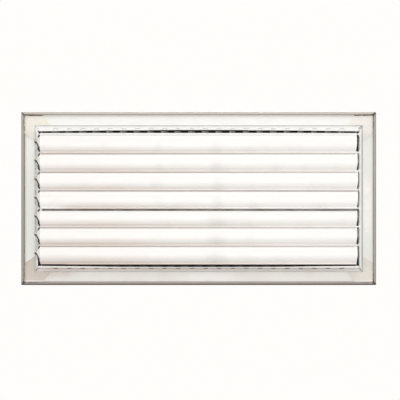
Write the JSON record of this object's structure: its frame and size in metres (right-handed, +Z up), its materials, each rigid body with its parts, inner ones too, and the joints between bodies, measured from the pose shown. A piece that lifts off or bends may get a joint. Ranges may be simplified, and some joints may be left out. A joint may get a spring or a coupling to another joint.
{
  "type": "supply air register",
  "caption": "Rectangular supply air register with a mitred white face frame and duct neck, adjustable vertical fins in front and a lever-worked, linked blade shutter behind.",
  "frame": {"origin": "centre of the face opening in the plane of the flange's rear rim, the plane that meets the wall", "axes": "+X along the width to the right as seen from the duct side, +Y out of the wall into the room, +Z up"},
  "size_m": [0.4952, 0.05, 0.2414],
  "materials": {
    "frame_paint": "white powder coat on extruded aluminium, satin",
    "fin_paint": "white powder coat on extruded aluminium, satin",
    "blade_paint": "white powder coat on formed aluminium, satin",
    "corner_key": "cream moulding, matte",
    "rod_steel": "bright drawn wire",
    "bush_nylon": "natural nylon",
    "link_steel": "zinc plated strip",
    "lever_steel": "white painted strip",
    "grip_plastic": "moulded grip, fine texture",
    "label_film": "plain pale film"
  },
  "bodies": {
    "frame": {"frame_top": "frame_paint", "frame_bottom": "frame_paint", "frame_left": "frame_paint", "frame_right": "frame_paint", "corner_key_top_left": "corner_key", "corner_key_top_right": "corner_key", "corner_key_bottom_left": "corner_key", "corner_key_bottom_right": "corner_key", "fin_bushes_top": "bush_nylon", "fin_bushes_bottom": "bush_nylon", "blade_bushes_left": "bush_nylon", "blade_bushes_right": "bush_nylon", "flange_label": "label_film"},
    "fin_01": {"fin_01": "fin_paint"},
    "fin_02": {"fin_02": "fin_paint"},
    "fin_03": {"fin_03": "fin_paint"},
    "fin_04": {"fin_04": "fin_paint"},
    "fin_05": {"fin_05": "fin_paint"},
    "fin_06": {"fin_06": "fin_paint"},
    "fin_07": {"fin_07": "fin_paint"},
    "fin_08": {"fin_08": "fin_paint"},
    "fin_09": {"fin_09": "fin_paint"},
    "fin_10": {"fin_10": "fin_paint"},
    "fin_11": {"fin_11": "fin_paint"},
    "fin_12": {"fin_12": "fin_paint"},
    "fin_13": {"fin_13": "fin_paint"},
    "fin_14": {"fin_14": "fin_paint"},
    "fin_15": {"fin_15": "fin_paint"},
    "fin_16": {"fin_16": "fin_paint"},
    "fin_17": {"fin_17": "fin_paint"},
    "fin_18": {"fin_18": "fin_paint"},
    "fin_19": {"fin_19": "fin_paint"},
    "fin_20": {"fin_20": "fin_paint"},
    "fin_21": {"fin_21": "fin_paint"},
    "fin_22": {"fin_22": "fin_paint"},
    "blade_1": {"blade_1": "blade_paint", "blade_rod_1": "rod_steel"},
    "blade_2": {"blade_2": "blade_paint", "blade_rod_2": "rod_steel"},
    "blade_3": {"blade_3": "blade_paint", "blade_rod_3": "rod_steel"},
    "blade_4": {"blade_4": "blade_paint", "blade_rod_4": "rod_steel", "damper_lever": "lever_steel", "lever_grip": "grip_plastic", "blade_label": "label_film"},
    "blade_5": {"blade_5": "blade_paint", "blade_rod_5": "rod_steel"},
    "blade_6": {"blade_6": "blade_paint", "blade_rod_6": "rod_steel"},
    "blade_7": {"blade_7": "blade_paint", "blade_rod_7": "rod_steel"},
    "link": {"link_bar": "link_steel", "link_rivets": "link_steel"}
  },
  "joints": [
    {"name": "fin_01_turn", "type": "hinge", "parent": "frame", "child": "fin_01", "pos_m": [-0.19845, -0.011, 0], "axis": [0, 0, 1], "range_deg": [-20, 70]},
    {"name": "fin_02_turn", "type": "hinge", "parent": "frame", "child": "fin_02", "pos_m": [-0.17955, -0.011, 0], "axis": [0, 0, 1], "range_deg": [-20, 70]},
    {"name": "fin_03_turn", "type": "hinge", "parent": "frame", "child": "fin_03", "pos_m": [-0.16065, -0.011, 0], "axis": [0, 0, 1], "range_deg": [-20, 70]},
    {"name": "fin_04_turn", "type": "hinge", "parent": "frame", "child": "fin_04", "pos_m": [-0.14175, -0.011, 0], "axis": [0, 0, 1], "range_deg": [-20, 70]},
    {"name": "fin_05_turn", "type": "hinge", "parent": "frame", "child": "fin_05", "pos_m": [-0.12285, -0.011, 0], "axis": [0, 0, 1], "range_deg": [-20, 70]},
    {"name": "fin_06_turn", "type": "hinge", "parent": "frame", "child": "fin_06", "pos_m": [-0.10395, -0.011, 0], "axis": [0, 0, 1], "range_deg": [-20, 70]},
    {"name": "fin_07_turn", "type": "hinge", "parent": "frame", "child": "fin_07", "pos_m": [-0.08505, -0.011, 0], "axis": [0, 0, 1], "range_deg": [-20, 70]},
    {"name": "fin_08_turn", "type": "hinge", "parent": "frame", "child": "fin_08", "pos_m": [-0.06615, -0.011, 0], "axis": [0, 0, 1], "range_deg": [-20, 70]},
    {"name": "fin_09_turn", "type": "hinge", "parent": "frame", "child": "fin_09", "pos_m": [-0.04725, -0.011, 0], "axis": [0, 0, 1], "range_deg": [-20, 70]},
    {"name": "fin_10_turn", "type": "hinge", "parent": "frame", "child": "fin_10", "pos_m": [-0.02835, -0.011, 0], "axis": [0, 0, 1], "range_deg": [-20, 70]},
    {"name": "fin_11_turn", "type": "hinge", "parent": "frame", "child": "fin_11", "pos_m": [-0.00945, -0.011, 0], "axis": [0, 0, 1], "range_deg": [-20, 70]},
    {"name": "fin_12_turn", "type": "hinge", "parent": "frame", "child": "fin_12", "pos_m": [0.00945, -0.011, 0], "axis": [0, 0, 1], "range_deg": [-20, 70]},
    {"name": "fin_13_turn", "type": "hinge", "parent": "frame", "child": "fin_13", "pos_m": [0.02835, -0.011, 0], "axis": [0, 0, 1], "range_deg": [-20, 70]},
    {"name": "fin_14_turn", "type": "hinge", "parent": "frame", "child": "fin_14", "pos_m": [0.04725, -0.011, 0], "axis": [0, 0, 1], "range_deg": [-20, 70]},
    {"name": "fin_15_turn", "type": "hinge", "parent": "frame", "child": "fin_15", "pos_m": [0.06615, -0.011, 0], "axis": [0, 0, 1], "range_deg": [-20, 70]},
    {"name": "fin_16_turn", "type": "hinge", "parent": "frame", "child": "fin_16", "pos_m": [0.08505, -0.011, 0], "axis": [0, 0, 1], "range_deg": [-20, 70]},
    {"name": "fin_17_turn", "type": "hinge", "parent": "frame", "child": "fin_17", "pos_m": [0.10395, -0.011, 0], "axis": [0, 0, 1], "range_deg": [-20, 70]},
    {"name": "fin_18_turn", "type": "hinge", "parent": "frame", "child": "fin_18", "pos_m": [0.12285, -0.011, 0], "axis": [0, 0, 1], "range_deg": [-20, 70]},
    {"name": "fin_19_turn", "type": "hinge", "parent": "frame", "child": "fin_19", "pos_m": [0.14175, -0.011, 0], "axis": [0, 0, 1], "range_deg": [-20, 70]},
    {"name": "fin_20_turn", "type": "hinge", "parent": "frame", "child": "fin_20", "pos_m": [0.16065, -0.011, 0], "axis": [0, 0, 1], "range_deg": [-20, 70]},
    {"name": "fin_21_turn", "type": "hinge", "parent": "frame", "child": "fin_21", "pos_m": [0.17955, -0.011, 0], "axis": [0, 0, 1], "range_deg": [-20, 70]},
    {"name": "fin_22_turn", "type": "hinge", "parent": "frame", "child": "fin_22", "pos_m": [0.19845, -0.011, 0], "axis": [0, 0, 1], "range_deg": [-20, 70]},
    {"name": "blade_1_swing", "type": "hinge", "parent": "frame", "child": "blade_1", "pos_m": [0, -0.034, 0.0883], "axis": [-1, 0, 0], "range_deg": [0, 80]},
    {"name": "blade_2_swing", "type": "hinge", "parent": "frame", "child": "blade_2", "pos_m": [0, -0.034, 0.0629], "axis": [-1, 0, 0], "range_deg": [0, 80]},
    {"name": "blade_3_swing", "type": "hinge", "parent": "frame", "child": "blade_3", "pos_m": [0, -0.034, 0.0375], "axis": [-1, 0, 0], "range_deg": [0, 80]},
    {"name": "blade_4_swing", "type": "hinge", "parent": "frame", "child": "blade_4", "pos_m": [0, -0.034, 0.0121], "axis": [-1, 0, 0], "range_deg": [0, 80]},
    {"name": "blade_5_swing", "type": "hinge", "parent": "frame", "child": "blade_5", "pos_m": [0, -0.034, -0.0133], "axis": [-1, 0, 0], "range_deg": [0, 80]},
    {"name": "blade_6_swing", "type": "hinge", "parent": "frame", "child": "blade_6", "pos_m": [0, -0.034, -0.0387], "axis": [-1, 0, 0], "range_deg": [0, 80]},
    {"name": "blade_7_swing", "type": "hinge", "parent": "frame", "child": "blade_7", "pos_m": [0, -0.034, -0.0641], "axis": [-1, 0, 0], "range_deg": [0, 80]},
    {"name": "link_turn", "type": "hinge", "parent": "blade_4", "child": "link", "pos_m": [-0.2238, -0.0355, 0.0026], "axis": [-1, 0, 0], "range_deg": [-80, 0]}
  ],
  "couplings": [
    {"joint": "blade_1_swing", "follows": "blade_4_swing", "ratio": 1},
    {"joint": "blade_2_swing", "follows": "blade_4_swing", "ratio": 1},
    {"joint": "blade_3_swing", "follows": "blade_4_swing", "ratio": 1},
    {"joint": "blade_5_swing", "follows": "blade_4_swing", "ratio": 1},
    {"joint": "blade_6_swing", "follows": "blade_4_swing", "ratio": 1},
    {"joint": "blade_7_swing", "follows": "blade_4_swing", "ratio": 1},
    {"joint": "link_turn", "follows": "blade_4_swing", "ratio": -1}
  ]
}
